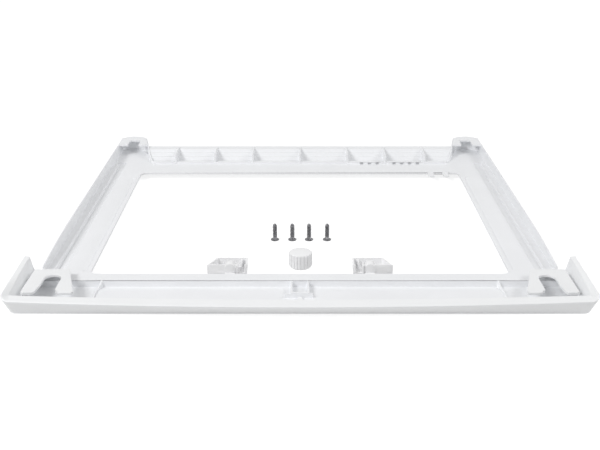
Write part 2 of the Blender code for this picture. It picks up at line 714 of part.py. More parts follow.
def fascia_skin():
    edge = FASCIA_EDGE_ROUND
    under = GUTTER_FLOOR + FIT_GAP
    inner_top = CHEEK_LEAN - CHEEK_TOP_WIDTH
    middle = (FASCIA_HEIGHT + under) / 2
    lanes = [
        (lambda s: 0, lambda s: 0, lambda s: 0, lambda s: 0),
        (lambda s: face_slope(s, FASCIA_HEIGHT - edge), lambda s: CHEEK_LEAN,
         lambda s: FASCIA_HEIGHT - edge, lambda s: cheek_top(s) - edge),
        (lambda s: FASCIA_LEAN + bow(s) - edge / 4, lambda s: CHEEK_LEAN - edge / 4,
         lambda s: FASCIA_HEIGHT - edge / 4, lambda s: cheek_top(s) - edge / 4),
        (lambda s: FASCIA_LEAN + bow(s) - edge, lambda s: CHEEK_LEAN - edge,
         lambda s: FASCIA_HEIGHT, cheek_top),
        (lambda s: rear_slope(s, FASCIA_HEIGHT), lambda s: inner_top,
         lambda s: FASCIA_HEIGHT, cheek_rim),
        (lambda s: rear_slope(s, middle), lambda s: (inner_top - CHEEK_FOOT) / 2,
         lambda s: middle, lambda s: middle),
        (lambda s: -FASCIA_BACK_FOOT, lambda s: -CHEEK_FOOT, lambda s: under, lambda s: under),
        (lambda s: -FASCIA_WALL, lambda s: -CHEEK_FOOT, lambda s: under, lambda s: under / 2),
        (lambda s: -FASCIA_WALL, lambda s: -CHEEK_FOOT, lambda s: 0, lambda s: 0),
    ]
    columns = [whole_lane(fascia_lane(*lane)) for lane in lanes]
    return loft("front_fascia", [list(ring) for ring in zip(*columns)])


def fascia_hollow():
    """Room inside the front bar, open underneath and shut off before both corners."""
    wall = FASCIA_WALL * sqrt(2)
    low = GUTTER_FLOOR + FIT_GAP - SINK
    knee = low + 2 * SINK
    rear = -FASCIA_BACK_FOOT + wall
    near = -FASCIA_WALL - HOLLOW_SETBACK
    ceiling = FASCIA_HEIGHT - FASCIA_WALL
    reach = FOOT_HALF - FASCIA_BACK_FOOT
    rings = []
    for k in range(2 * FRONT_STEPS + 1):
        share = 1 - k / FRONT_STEPS
        section = [(rear, low), (rear, knee), (rear_slope(share, ceiling) + wall, ceiling),
                   (face_slope(share, ceiling) - wall, ceiling), (near, knee), (near, low)]
        rings.append([(reach * share, FACE_FOOT - out, z) for out, z in section])
    return loft("fascia_hollow", rings)


def fascia_clip():
    """Pointed tongue behind the bar's middle that meets the socket's front plate."""
    back = RISER_FACE - SOCKET_DEPTH - FIT_GAP
    half = CLIP_WIDTH / 2
    near = FACE_FOOT + FASCIA_BACK_FOOT - FASCIA_WALL
    plan = [(-half, near), (half, near), (half, back - CLIP_NOSE), (0, back), (-half, back - CLIP_NOSE)]
    return along_z("clip", plan, GUTTER_FLOOR + FIT_GAP, CLIP_TOP)


def make_front_fascia(material):
    body = fascia_skin()
    cut(body, fascia_hollow())
    join(body, fascia_clip())
    return dress(body, material)


# Front foot catches: a horseshoe plate on a rear wall and an outer wall, open below, in front and inwards
def catch_outline():
    rear = CATCH_REAR
    front = rear - CATCH_LENGTH
    tip = CATCH_TIP_ROUND
    slot_half = CATCH_SLOT_WIDTH / 2
    slot_end = rear - CATCH_BRIDGE - slot_half
    inner = CATCH_SLOT_CENTRE - slot_half
    outer = CATCH_SLOT_CENTRE + slot_half
    corner = CATCH_CORNER
    small = CATCH_FRONT_ROUND
    inner_front = CATCH_OUTER - CATCH_WIDTH_FRONT
    outline = [(CATCH_OUTER - CATCH_WIDTH_REAR, rear), (inner_front, front + small)]
    outline += arc((inner_front + small, front + small), small, 2, 3, 3)[1:]
    outline += arc((inner - tip, front + tip), tip, 3, 4, 7)
    outline += arc((CATCH_SLOT_CENTRE, slot_end), slot_half, 2, 0, 8)
    outline += [(outer, front + 2 * tip), (outer + CATCH_SLOT_FLARE, front + small)]
    outline += [(outer + CATCH_SLOT_FLARE + small, front), (CATCH_OUTER - corner, front)]
    outline += [(CATCH_OUTER, front + corner), (CATCH_OUTER, rear)]
    return outline


def make_catch(name, side, material):
    rear = CATCH_REAR
    front = rear - CATCH_LENGTH
    low = GUTTER_FLOOR + FIT_GAP
    outline = catch_outline()
    wall_in = CATCH_OUTER - CATCH_WALL
    edge = CATCH_SHOULDER
    open_side = CATCH_OUTER - CATCH_WIDTH_FRONT - CUT_OVERRUN
    room = [(open_side, front - CUT_OVERRUN), (wall_in, front - CUT_OVERRUN), (wall_in, rear - CATCH_WALL),
            (open_side, rear - CATCH_WALL)]
    shoulder = [(CATCH_OUTER - edge, CATCH_TOP + SINK / 2), (CATCH_OUTER + CUT_OVERRUN, CATCH_TOP + SINK / 2),
                (CATCH_OUTER + CUT_OVERRUN, CATCH_TOP - edge)]
    step = [(RISER_FACE - FIT_GAP, low - CUT_OVERRUN), (rear + CUT_OVERRUN, low - CUT_OVERRUN),
            (rear + CUT_OVERRUN, DECK_TOP + LEDGE_RISE + FIT_GAP), (RISER_FACE - FIT_GAP, DECK_TOP + LEDGE_RISE + FIT_GAP)]
    if side < 0:
        outline = mirrored(outline)
        room = mirrored(room)
        shoulder = [(-x, z) for x, z in reversed(shoulder)]
    body = along_z(name, outline, low, CATCH_TOP)
    cut(body, along_z("foot_room", room, low - CUT_OVERRUN, CATCH_TOP - CATCH_PLATE),
        along_y("shoulder", shoulder, front - CUT_OVERRUN, rear + CUT_OVERRUN),
        along_x("deck_step", step, -KIT_WIDTH / 2, KIT_WIDTH / 2))
    return dress(body, material)


# Loose brackets: an open tray with a slanted end, a rounded boss, a gap in the front wall and a hook under it
def make_bracket(name, side, material):
    half = BRACKET_LENGTH / 2
    near = BRACKET_Y - BRACKET_DEPTH / 2
    far = BRACKET_Y + BRACKET_DEPTH / 2
    wall = BRACKET_WALL
    slant = BRACKET_SLANT

    def place(outline):
        # the left bracket has its slanted end to the left, and the right one is its mirror image
        turned_outline = [(side * (BRACKET_X + x), y) for x, y in outline]
        return turned_outline if side > 0 else list(reversed(turned_outline))

    tray = place([(-half, near), (half, near), (half - slant, far), (-half, far)])
    body = along_z(name, tray, 0, BRACKET_HEIGHT)
    # the slanted wall is as thick as the others when it is measured square to itself
    across = wall * sqrt(1 + (slant / BRACKET_DEPTH) ** 2) + wall * slant / BRACKET_DEPTH
    room = place([(-half + wall, near + wall), (half - across, near + wall),
                  (half - slant - wall, far - wall), (-half + wall, far - wall)])
    boss_x = -half + BRACKET_BOSS_OFFSET
    gap = place([(-half + wall, near - CUT_OVERRUN), (-half + wall + BRACKET_GAP_WIDTH, near - CUT_OVERRUN),
                 (-half + wall + BRACKET_GAP_WIDTH, near + wall + SINK), (-half + wall, near + wall + SINK)])
    cut(body, along_z("tray_room", room, wall, BRACKET_HEIGHT + CUT_OVERRUN),
        along_z("front_gap", gap, wall, BRACKET_HEIGHT + CUT_OVERRUN))
    reach = BRACKET_BOSS_WIDTH / 2
    boss = place([(boss_x - reach, near + wall), (boss_x - reach, near)]
                 + arc((boss_x, near), reach, 2, 4, 8)[1:-1] + [(boss_x + reach, near), (boss_x + reach, near + wall)])
    squeeze = BRACKET_BOSS_PROUD / reach
    flat = [(x, near + (y - near) * squeeze if y < near else y) for x, y in boss]
    hook_half = BRACKET_HOOK_WIDTH / 2
    hook = place([(boss_x - hook_half, near - BRACKET_HOOK_REACH), (boss_x + hook_half, near - BRACKET_HOOK_REACH),
                  (boss_x + hook_half, near + wall / 2), (boss_x - hook_half, near + wall / 2)])
    join(body, along_z("boss", flat, BRACKET_HOOK_HEIGHT, BRACKET_BOSS_HEIGHT),
         along_z("hook", hook, 0, BRACKET_HOOK_HEIGHT + SINK))
    return dress(body, material)


def make_cap(material):
    """Round cap with upright ribs, a ring line, a rounded foot and a hollow that opens downwards."""
    sides = CAP_RIB_COUNT * 2
    rings = []
    profile = []
    for k in range(3):
        angle = pi / 2 * k / 2
        inset = CAP_EDGE_ROUND * (1 - sin(angle))
        profile.append((inset, CAP_EDGE_ROUND * (1 - cos(angle)), 1.0 if k > 1 else 0.0))
    ring = CAP_RING_DEPTH
    profile += [(0, CAP_RING_HEIGHT - ring, 1.0), (ring, CAP_RING_HEIGHT, 0.0), (0, CAP_RING_HEIGHT + ring, 1.0)]
    profile += [(0, CAP_HEIGHT - 2 * ring, 1.0), (2 * ring, CAP_HEIGHT, 0.0)]
    for inset, height, share in profile:
        points = []
        for k in range(sides):
            angle = 2 * pi * k / sides
            proud = CAP_RIB_PROUD * share * (k % 2)
            radius = CAP_RADIUS - CAP_RIB_PROUD - inset + proud
            points.append((CAP_X + radius * cos(angle), CAP_Y + radius * sin(angle), height))
        rings.append(points)
    body = loft("ribbed_cap", rings)
    inner = CAP_RADIUS - CAP_EDGE_ROUND - CAP_WALL
    hollow = turned("cap_hollow", [(inner, -CUT_OVERRUN), (inner, CAP_HEIGHT - CAP_WALL)], CAP_RIB_COUNT,
                    (CAP_X, CAP_Y))
    cut(body, hollow)
    return dress(body, material)


def make_screw(name, x, material):
    """Pan head screw standing on its head: head, threaded shank and point, with a recess in the head."""
    radius = SCREW_HEAD_RADIUS
    dome = (radius + SCREW_THREAD_RADIUS) / 2
    profile = [(radius - SCREW_RIM_LOW, 0), (radius, SCREW_RIM_LOW), (radius, SCREW_RIM_HIGH)]
    profile += [(dome, (SCREW_RIM_HIGH + SCREW_HEAD_HEIGHT) / 2), (SCREW_THREAD_RADIUS, SCREW_HEAD_HEIGHT)]
    turns = int((SCREW_LENGTH - SCREW_TIP_LENGTH - SCREW_HEAD_HEIGHT) / SCREW_THREAD_PITCH) - 1
    for k in range(turns):
        base = SCREW_HEAD_HEIGHT + SCREW_THREAD_PITCH * (k + 1)
        profile += [(SCREW_CORE_RADIUS, base), (SCREW_THREAD_RADIUS, base + SCREW_THREAD_PITCH / 2)]
    profile += [(SCREW_CORE_RADIUS, SCREW_LENGTH - SCREW_TIP_LENGTH), (SCREW_POINT_RADIUS, SCREW_LENGTH)]
    body = turned(name, profile, 16, (x, SCREW_Y))
    recess = turned("recess", [(SCREW_RECESS_RADIUS, -CUT_OVERRUN), (SCREW_RECESS_RADIUS, 0),
                               (SCREW_RECESS_RADIUS / 2, SCREW_RECESS_DEPTH)], 6, (x, SCREW_Y))
    cut(body, recess)
    return dress(body, material)


def build():
    clear_scene()
    tray = finish("frame_plastic", (0.80, 0.80, 0.80), 0.45)
    fascia = finish("fascia_plastic", (0.78, 0.78, 0.78), 0.40)
    catch = finish("catch_plastic", (0.84, 0.84, 0.84), 0.40)
    small = finish("small_plastic", (0.82, 0.82, 0.82), 0.42)
    steel = finish("screw_steel", (0.32, 0.32, 0.33), 0.35, 1.0)
    make_base_frame(tray)
    make_front_fascia(fascia)
    make_catch("foot_catch_left", -1, catch)
    make_catch("foot_catch_right", 1, catch)
    make_bracket("bracket_left", -1, small)
    make_bracket("bracket_right", 1, small)
    make_cap(small)
    for k, x in enumerate(SCREW_PLACES):
        make_screw("screw_%d" % (k + 1), x, steel)


build()
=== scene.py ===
from math import atan2, pi, radians

import bpy
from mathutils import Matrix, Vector


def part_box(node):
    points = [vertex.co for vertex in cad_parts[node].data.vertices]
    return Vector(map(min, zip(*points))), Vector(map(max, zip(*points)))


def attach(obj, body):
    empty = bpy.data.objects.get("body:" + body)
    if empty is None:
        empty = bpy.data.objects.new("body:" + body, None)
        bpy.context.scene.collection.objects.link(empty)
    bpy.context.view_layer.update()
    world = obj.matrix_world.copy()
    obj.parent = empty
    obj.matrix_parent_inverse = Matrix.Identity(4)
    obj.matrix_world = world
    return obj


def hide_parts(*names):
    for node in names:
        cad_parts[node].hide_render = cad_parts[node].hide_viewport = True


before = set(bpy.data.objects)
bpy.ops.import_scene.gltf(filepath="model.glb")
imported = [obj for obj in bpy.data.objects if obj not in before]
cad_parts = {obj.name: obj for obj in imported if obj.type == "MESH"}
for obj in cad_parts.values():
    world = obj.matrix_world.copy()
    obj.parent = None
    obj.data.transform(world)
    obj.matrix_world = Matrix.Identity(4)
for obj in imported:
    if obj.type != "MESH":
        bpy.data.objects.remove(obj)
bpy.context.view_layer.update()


# Base frame
# The tray that lies on the lower machine: deck, side walls, rear rail and foot pockets in one
# injection moulding of white ABS. Its edges leave the mould with a small radius, and its faces
# carry the fine grain of a spark-eroded mould.
TRAY_EDGE = 0.00045
TROUGH_STEP_X = (0.2562, 0.2570)
TROUGH_STEP_Y = (0.1750, 0.1760)
TROUGH_STEP_LOW = 0.0095
SAME_POINT = 0.00001
CROWDED_SPACING = 0.0008
FLAT_ANGLE = radians(0.5)
SHARP_ANGLE = radians(32)
SMOOTH_ANGLE = radians(40)
ABS_IOR = 1.53
CLOUD_MM = 60


def select_only(piece):
    bpy.ops.object.select_all(action="DESELECT")
    piece.select_set(True)
    bpy.context.view_layer.objects.active = piece


def choose(piece, kind, test):
    """Select the faces, edges or vertices whose middle passes a test, and stay in edit mode."""
    if bpy.context.object.mode == "EDIT":
        bpy.ops.object.mode_set(mode="OBJECT")
    select_only(piece)
    mesh = piece.data
    for group in (mesh.polygons, mesh.edges, mesh.vertices):
        for element in group:
            element.select = False
    if kind == "FACE":
        for face in mesh.polygons:
            face.select = test(face.center, face.normal)
    if kind == "EDGE":
        for edge in mesh.edges:
            ends = [mesh.vertices[k].co for k in edge.vertices]
            edge.select = test((ends[0] + ends[1]) / 2, ends[1] - ends[0])
    if kind == "VERT":
        for vertex in mesh.vertices:
            vertex.select = test(vertex.co, vertex.normal)
    bpy.context.scene.tool_settings.mesh_select_mode = (kind == "VERT", kind == "EDGE", kind == "FACE")
    bpy.ops.object.mode_set(mode="EDIT")


def rounded_copy(node, name, radius, crowded=None):
    """A piece with the node's shape whose sharp edges are rounded and whose flat faces stay flat.

    Corners that stand closer together than the rounding can use are merged where crowded says so.
    """
    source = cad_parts[node]
    piece = bpy.data.objects.new(name, source.data.copy())
    bpy.context.scene.collection.objects.link(piece)
    piece.data.materials.clear()
    select_only(piece)
    bpy.ops.object.mode_set(mode="EDIT")
    bpy.ops.mesh.select_all(action="SELECT")
    bpy.ops.mesh.remove_doubles(threshold=SAME_POINT)
    if crowded:
        choose(piece, "VERT", crowded)
        bpy.ops.mesh.remove_doubles(threshold=CROWDED_SPACING)
        bpy.ops.mesh.select_all(action="SELECT")
    bpy.ops.mesh.normals_make_consistent(inside=False)
    # the flat faces get well shaped triangles, so that the rounding has no thin ones to fold
    bpy.ops.mesh.beautify_fill(angle_limit=FLAT_ANGLE)
    bpy.ops.object.mode_set(mode="OBJECT")
    bevel = piece.modifiers.new("edge_radius", "BEVEL")
    bevel.width = radius
    bevel.segments = 2
    bevel.limit_method = "ANGLE"
    bevel.angle_limit = SHARP_ANGLE
    bevel.use_clamp_overlap = False
    bevel.miter_outer = "MITER_ARC"
    bpy.ops.object.modifier_apply(modifier=bevel.name)
    # the rounding of a step that is lower than the radius would rise over the piece's own top
    top = max(corner.co.z for corner in source.data.vertices)
    for corner in piece.data.vertices:
        corner.co.z = min(corner.co.z, top)
    bpy.ops.object.shade_smooth_by_angle(angle=SMOOTH_ANGLE)
    flat = piece.modifiers.new("flat_faces", "WEIGHTED_NORMAL")
    flat.keep_sharp = True
    bpy.ops.object.modifier_apply(modifier=flat.name)
    return piece


def linear(hex_colour):
    """The linear colour of an sRGB hex value, with alpha 1."""
    values = [int(hex_colour[k:k + 2], 16) / 255 for k in (0, 2, 4)]
    curve = [v / 12.92 if v <= 0.04045 else ((v + 0.055) / 1.055) ** 2.4 for v in values]
    return (*curve, 1.0)


def add(tree, kind, settings=(), links=()):
    """Add a node, set its properties or sockets by name, and link sockets of other nodes into it."""
    node = tree.nodes.new(kind)
    for name, value in dict(settings).items():
        if name in node.inputs:
            node.inputs[name].default_value = value
        else:
            setattr(node, name, value)
    for name, source in dict(links).items():
        tree.links.new(source, node.inputs[name])
    return node


def moulded_plastic(name, colour, tint, roughness, grain_mm, relief_mm):
    """White ABS from a textured mould: an even, faintly clouded colour under a fine grain."""
    material = bpy.data.materials.new(name)
    material.use_nodes = True
    tree = material.node_tree
    shader = tree.nodes["Principled BSDF"]
    shader.inputs["IOR"].default_value = ABS_IOR
    place = add(tree, "ShaderNodeTexCoord")
    # the pigment is spread a little unevenly, in clouds some centimetres wide
    cloud = add(tree, "ShaderNodeTexNoise",
                {"Scale": 1000 / CLOUD_MM, "Detail": 3.0, "Roughness": 0.55},
                {"Vector": place.outputs["Object"]})
    ramp = add(tree, "ShaderNodeValToRGB", {}, {"Fac": cloud.outputs["Fac"]})
    ramp.color_ramp.elements[0].position = 0.35
    ramp.color_ramp.elements[0].color = linear(tint)
    ramp.color_ramp.elements[1].position = 0.65
    ramp.color_ramp.elements[1].color = linear(colour)
    tree.links.new(ramp.outputs["Color"], shader.inputs["Base Color"])
    # real spark grain is 0.1 mm to 0.3 mm across; it is drawn coarser so that the camera resolves it
    grain = add(tree, "ShaderNodeTexNoise",
                {"Scale": 1000 / grain_mm, "Detail": 2.0, "Roughness": 0.6},
                {"Vector": place.outputs["Object"]})
    gloss = add(tree, "ShaderNodeMapRange",
                {"To Min": roughness - 0.05, "To Max": roughness + 0.07},
                {"Value": grain.outputs["Fac"]})
    tree.links.new(gloss.outputs["Result"], shader.inputs["Roughness"])
    bump = add(tree, "ShaderNodeBump", {"Strength": 0.35, "Distance": relief_mm / 1000},
               {"Height": grain.outputs["Fac"]})
    tree.links.new(bump.outputs["Normal"], shader.inputs["Normal"])
    return material


def finish(piece, material, node, body):
    """Dress a piece and let it stand for its node."""
    piece.data.materials.append(material)
    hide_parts(node)
    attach(piece, body)


def trough_step(place, normal):
    """The small step between each trough's rear end and the recess behind it."""
    return (TROUGH_STEP_X[0] < abs(place.x) < TROUGH_STEP_X[1]
            and TROUGH_STEP_Y[0] < place.y < TROUGH_STEP_Y[1] and place.z > TROUGH_STEP_LOW)


tray_abs = moulded_plastic("textured_white_abs", "f6f7f9", "f3f4f6", 0.46, 0.9, 0.05)
tray = rounded_copy("base_frame", "tray", TRAY_EDGE, trough_step)
finish(tray, tray_abs, "base_frame", "frame")


# Front fascia
# The bowed front bar with its two cheeks is a separate moulding, seen when the machines are stacked,
# so its face is smoother than the tray's. It is seated along the tray's front edge.
FASCIA_EDGE = 0.0005
INNER_CORNER_X = (0.2855, 0.2873)
INNER_CORNER_Y = (-0.2590, -0.2510)


def inner_corner(place, normal):
    """The tightly curved corners, on the inside, where the cheeks meet the bar."""
    return (INNER_CORNER_X[0] < abs(place.x) < INNER_CORNER_X[1]
            and INNER_CORNER_Y[0] < place.y < INNER_CORNER_Y[1])


fascia_abs = moulded_plastic("satin_white_abs", "fafbfc", "f7f8f9", 0.36, 0.7, 0.03)
fascia = rounded_copy("front_fascia", "fascia", FASCIA_EDGE, inner_corner)
finish(fascia, fascia_abs, "front_fascia", "frame")


# Front foot catches
# Each front corner has a horseshoe plate on a rear and an outer wall, moulded in the same white ABS.
# The foot slides into the slot from the front, and the plate keeps it down.
CATCH_EDGE = 0.0006
catch_abs = moulded_plastic("smooth_white_abs", "f6f7f8", "f3f4f5", 0.38, 0.7, 0.03)
for side in ("left", "right"):
    catch = rounded_copy("foot_catch_" + side, "catch_" + side, CATCH_EDGE)
    finish(catch, catch_abs, "foot_catch_" + side, "frame")


# Loose brackets
# Two small open trays of white ABS, moulded left and right handed. A half-round boss runs back from each
# one's front wall, where its end shows beside an open gap, and a flat tab reaches out below it.
BRACKET_WALL = 0.0016
BRACKET_FLOOR = 0.0018
BRACKET_HEIGHT = 0.0114
BRACKET_SLANT = 0.0095
ROOM_SLANT_SHARE = 0.9
SLANT_WALL_SHARE = 1.6
BRACKET_EDGE = 0.0002
BOSS_PLACE = 0.0186
BOSS_RADIUS = 0.0062
BOSS_PROUD = 0.0010
BOSS_SHARE = 0.5
BOSS_EDGE = 0.0004
GAP_START = 0.0028
GAP_END = 0.0102
GAP_EDGE_PROUD = 0.0024
RIB_THICKNESS = 0.0014
SLIT_RIB_PLACE = 0.0056
FOOT_STEP = 0.0005
FOOT_STEP_SHARE = 0.7
TAB_REACH = 0.0062
TAB_HALF_WIDTH = 0.0057
TAB_HEIGHT = 0.0024
OVERRUN = 0.001
TINY = 0.000001
SMALL_SMOOTH_ANGLE = radians(35)


def new_block(name, low, high):
    """Block between two corners."""
    bpy.ops.object.select_all(action="DESELECT")
    bpy.ops.mesh.primitive_cube_add(size=1, location=(0, 0, 0))
    block = bpy.context.object
    block.name = name
    block.scale = [high[k] - low[k] for k in range(3)]
    block.location = [(high[k] + low[k]) / 2 for k in range(3)]
    bpy.ops.object.transform_apply(location=True, rotation=True, scale=True)
    return block


def new_cylinder(name, radius, low, high, vertices):
    """Cylinder around the Z axis between two heights."""
    bpy.ops.object.select_all(action="DESELECT")
    bpy.ops.mesh.primitive_cylinder_add(vertices=vertices, radius=radius, depth=high - low,
                                        location=(0, 0, (low + high) / 2))
    piece = bpy.context.object
    piece.name = name
    bpy.ops.object.transform_apply(location=True, rotation=True, scale=True)
    return piece


def combine(piece, tool, operation):
    """Join a tool to a piece or cut it away, and remove the tool."""
    select_only(piece)
    step = piece.modifiers.new("step", "BOOLEAN")
    step.object = tool
    step.operation = operation
    bpy.ops.object.modifier_apply(modifier=step.name)
    bpy.data.objects.remove(tool)


def place_piece(piece, x, y):
    """Leave edit mode, set every normal outwards and move the mesh to its place."""
    bpy.ops.object.mode_set(mode="EDIT")
    bpy.ops.mesh.select_mode(type="VERT")
    bpy.ops.mesh.select_all(action="SELECT")
    bpy.ops.mesh.normals_make_consistent(inside=False)
    bpy.ops.transform.translate(value=(x, y, 0))
    bpy.ops.object.mode_set(mode="OBJECT")


def clip_bracket(side):
    """A small tray with its boss, gap and tab, made right handed and mirrored for the left one."""
    low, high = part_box("bracket_" + side)
    length = high[0] - low[0]
    depth = high[1] - low[1] - TAB_REACH
    top = high[2]
    wall = BRACKET_WALL
    # it is made with its straight end at zero and its front wall's face at zero
    piece = new_block("clip_bracket_" + side, (0, 0, 0), (length, depth, BRACKET_HEIGHT))
    room = new_block("room", (wall, wall, BRACKET_FLOOR),
                     (length - wall * SLANT_WALL_SHARE, depth - wall, BRACKET_HEIGHT + OVERRUN))
    # the far end slants
    room_slant = BRACKET_SLANT * ROOM_SLANT_SHARE
    for block, shift, far in ((piece, BRACKET_SLANT, depth), (room, room_slant, depth - wall)):
        choose(block, "VERT",
               lambda place, normal: place.x > length / 2 and place.y > far - wall / 2)
        bpy.ops.transform.translate(value=(-shift, 0, 0))
        bpy.ops.object.mode_set(mode="OBJECT")
    combine(piece, room, "DIFFERENCE")
    # the boss is turned down along the depth, and mirrored where the turn went out of the front wall
    boss = new_cylinder("boss", BOSS_RADIUS, -BOSS_PROUD, depth * BOSS_SHARE, 40)
    choose(boss, "EDGE", lambda middle, along: middle.z < TINY - BOSS_PROUD and abs(along.z) < TINY)
    bpy.ops.mesh.bevel(offset=BOSS_EDGE, segments=2, affect="EDGES")
    bpy.ops.object.mode_set(mode="OBJECT")
    choose(boss, "VERT", lambda place, normal: True)
    bpy.ops.transform.rotate(value=pi / 2, orient_axis="X", center_override=(0, 0, 0))
    bpy.ops.object.mode_set(mode="OBJECT")
    turned = max(vertex.co.y for vertex in boss.data.vertices) < depth / 4
    choose(boss, "VERT", lambda place, normal: True)
    bpy.ops.transform.resize(value=(1, -1 if turned else 1, 1), center_override=(0, 0, 0))
    bpy.ops.transform.translate(value=(BOSS_PLACE, 0, top - BOSS_RADIUS))
    bpy.ops.mesh.normals_make_consistent(inside=False)
    bpy.ops.object.mode_set(mode="OBJECT")
    combine(piece, boss, "UNION")
    gap = new_block("gap", (GAP_START, -OVERRUN, BRACKET_FLOOR),
                    (GAP_END, wall + OVERRUN / 4, top + OVERRUN))
    combine(piece, gap, "DIFFERENCE")
    # the gap's edge stands proud, and a thin rib makes a slit beside the end wall
    edge = new_block("edge", (GAP_END, -GAP_EDGE_PROUD, 0),
                     (GAP_END + RIB_THICKNESS, depth / 3, BRACKET_HEIGHT + OVERRUN / 2))
    combine(piece, edge, "UNION")
    foot = new_block("foot_step", (-OVERRUN, -OVERRUN, -OVERRUN),
                     (length + OVERRUN, FOOT_STEP, TAB_HEIGHT * FOOT_STEP_SHARE))
    combine(piece, foot, "DIFFERENCE")
    rib = new_block("rib", (SLIT_RIB_PLACE, depth / 2, wall / 2),
                    (SLIT_RIB_PLACE + RIB_THICKNESS, depth - wall / 2, BRACKET_HEIGHT - OVERRUN))
    combine(piece, rib, "UNION")
    tab = new_block("tab", (BOSS_PLACE - TAB_HALF_WIDTH, -TAB_REACH, 0),
                    (BOSS_PLACE + TAB_HALF_WIDTH, wall / 2, TAB_HEIGHT))
    combine(piece, tab, "UNION")
    select_only(piece)
    radius = piece.modifiers.new("edge_radius", "BEVEL")
    radius.width = BRACKET_EDGE
    radius.segments = 2
    radius.limit_method = "ANGLE"
    radius.angle_limit = SMOOTH_ANGLE
    bpy.ops.object.modifier_apply(modifier=radius.name)
    if side == "left":
        choose(piece, "VERT", lambda place, normal: True)
        bpy.ops.transform.resize(value=(-1, 1, 1), center_override=(0, 0, 0))
        bpy.ops.object.mode_set(mode="OBJECT")
    place_piece(piece, high[0] if side == "left" else low[0], low[1] + TAB_REACH)
    bpy.ops.object.shade_smooth_by_angle(angle=SMALL_SMOOTH_ANGLE)
    return piece


small_abs = moulded_plastic("bracket_white_abs", "fafafb", "f6f6f7", 0.40, 0.6, 0.03)
for side in ("left", "right"):
    finish(clip_bracket(side), small_abs, "bracket_" + side, "bracket_" + side)


# Ribbed cap
# A small round cap with upright grip ribs all round and a plain top, moulded in the brackets' white ABS
# with a thin wall. Its foot is rounded, and a hollow opens underneath for the stud that it covers.
CAP_RIBS = 22
CAP_RIB_HEIGHT = 0.0007
CAP_WALL = 0.0017
CAP_FOOT_ROUND = 0.0022
CAP_TOP_ROUND = 0.0005
CAP_RIB_FLANK = 0.00008
CAP_RIB_SHARE = 0.985
CAP_RIM_SHARE = 0.4


def grip_cap():
    """The cap, from a cylinder with six sides for each rib."""
    low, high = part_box("ribbed_cap")
    radius = (high[0] - low[0]) / 2
    height = high[2] - low[2]
    cap = new_cylinder("grip_cap", radius - CAP_RIB_HEIGHT, 0, height, CAP_RIBS * 6)
    choose(cap, "EDGE", lambda middle, along: middle.z > height - TINY and abs(along.z) < TINY)
    bpy.ops.mesh.bevel(offset=CAP_TOP_ROUND, segments=3, affect="EDGES")
    choose(cap, "EDGE", lambda middle, along: middle.z < TINY and abs(along.z) < TINY)
    bpy.ops.mesh.bevel(offset=CAP_FOOT_ROUND, segments=5, affect="EDGES")
    # the ribs run from the foot's rounding to the top's, and their ends draw in a little
    step = pi / (CAP_RIBS * 3)
    choose(cap, "FACE", lambda middle, normal: abs(normal.z) < 0.01
           and int((atan2(middle.y, middle.x) + 2 * pi) / step) % 6 in (0, 1, 2))
    bpy.ops.mesh.inset(thickness=CAP_RIB_FLANK, use_boundary=True)
    bpy.ops.mesh.extrude_region_shrink_fatten(TRANSFORM_OT_shrink_fatten={"value": CAP_RIB_HEIGHT})
    bpy.ops.transform.resize(value=(1, 1, CAP_RIB_SHARE))
    # the hollow underneath
    choose(cap, "FACE", lambda middle, normal: normal.z < -0.99 and middle.z < SAME_POINT)
    bpy.ops.mesh.inset(thickness=CAP_WALL * CAP_RIM_SHARE, use_boundary=True)
    bpy.ops.mesh.extrude_region_move(TRANSFORM_OT_translate={"value": (0, 0, height - CAP_WALL)})
    bpy.ops.object.mode_set(mode="OBJECT")
    place_piece(cap, (low[0] + high[0]) / 2, (low[1] + high[1]) / 2)
    bpy.ops.object.shade_smooth_by_angle(angle=SMALL_SMOOTH_ANGLE)
    return cap


finish(grip_cap(), small_abs, "ribbed_cap", "ribbed_cap")


# Screws
# Four self-tapping screws with a coned head and a cross recess, rolled from steel wire and zinc plated
# with a dark passivation. They stand on their heads in a row.
HEAD_RADIUS = 0.005
HEAD_RIM = 0.0013
HEAD_DOME = 0.0006
HEAD_RIM_EDGE = 0.0003
HEAD_CONE = ((0.0007, 0.78), (0.0006, 0.78))
HEAD_NECK = 0.0008
SHANK_RADIUS = 0.0021
TIP_LENGTH = 0.0012
TIP_SCALES = (0.92, 0.80)
CREST_RADIUS = 0.0029
THREAD_PITCH = 0.0018
THREAD_TURNS = 8
THREAD_STEPS = 28
THREAD_ROOT = 0.0001
THREAD_HALF_WIDTH = 0.36
THREAD_START = 0.0030
RECESS_LENGTH = 0.0046
RECESS_WIDTH = 0.0009
RECESS_HEIGHT = 0.0023
RECESS_MIDDLE = 0.0005
RECESS_TAPER = 0.62
MOTTLE_AND_GLINT_MM = 1.5


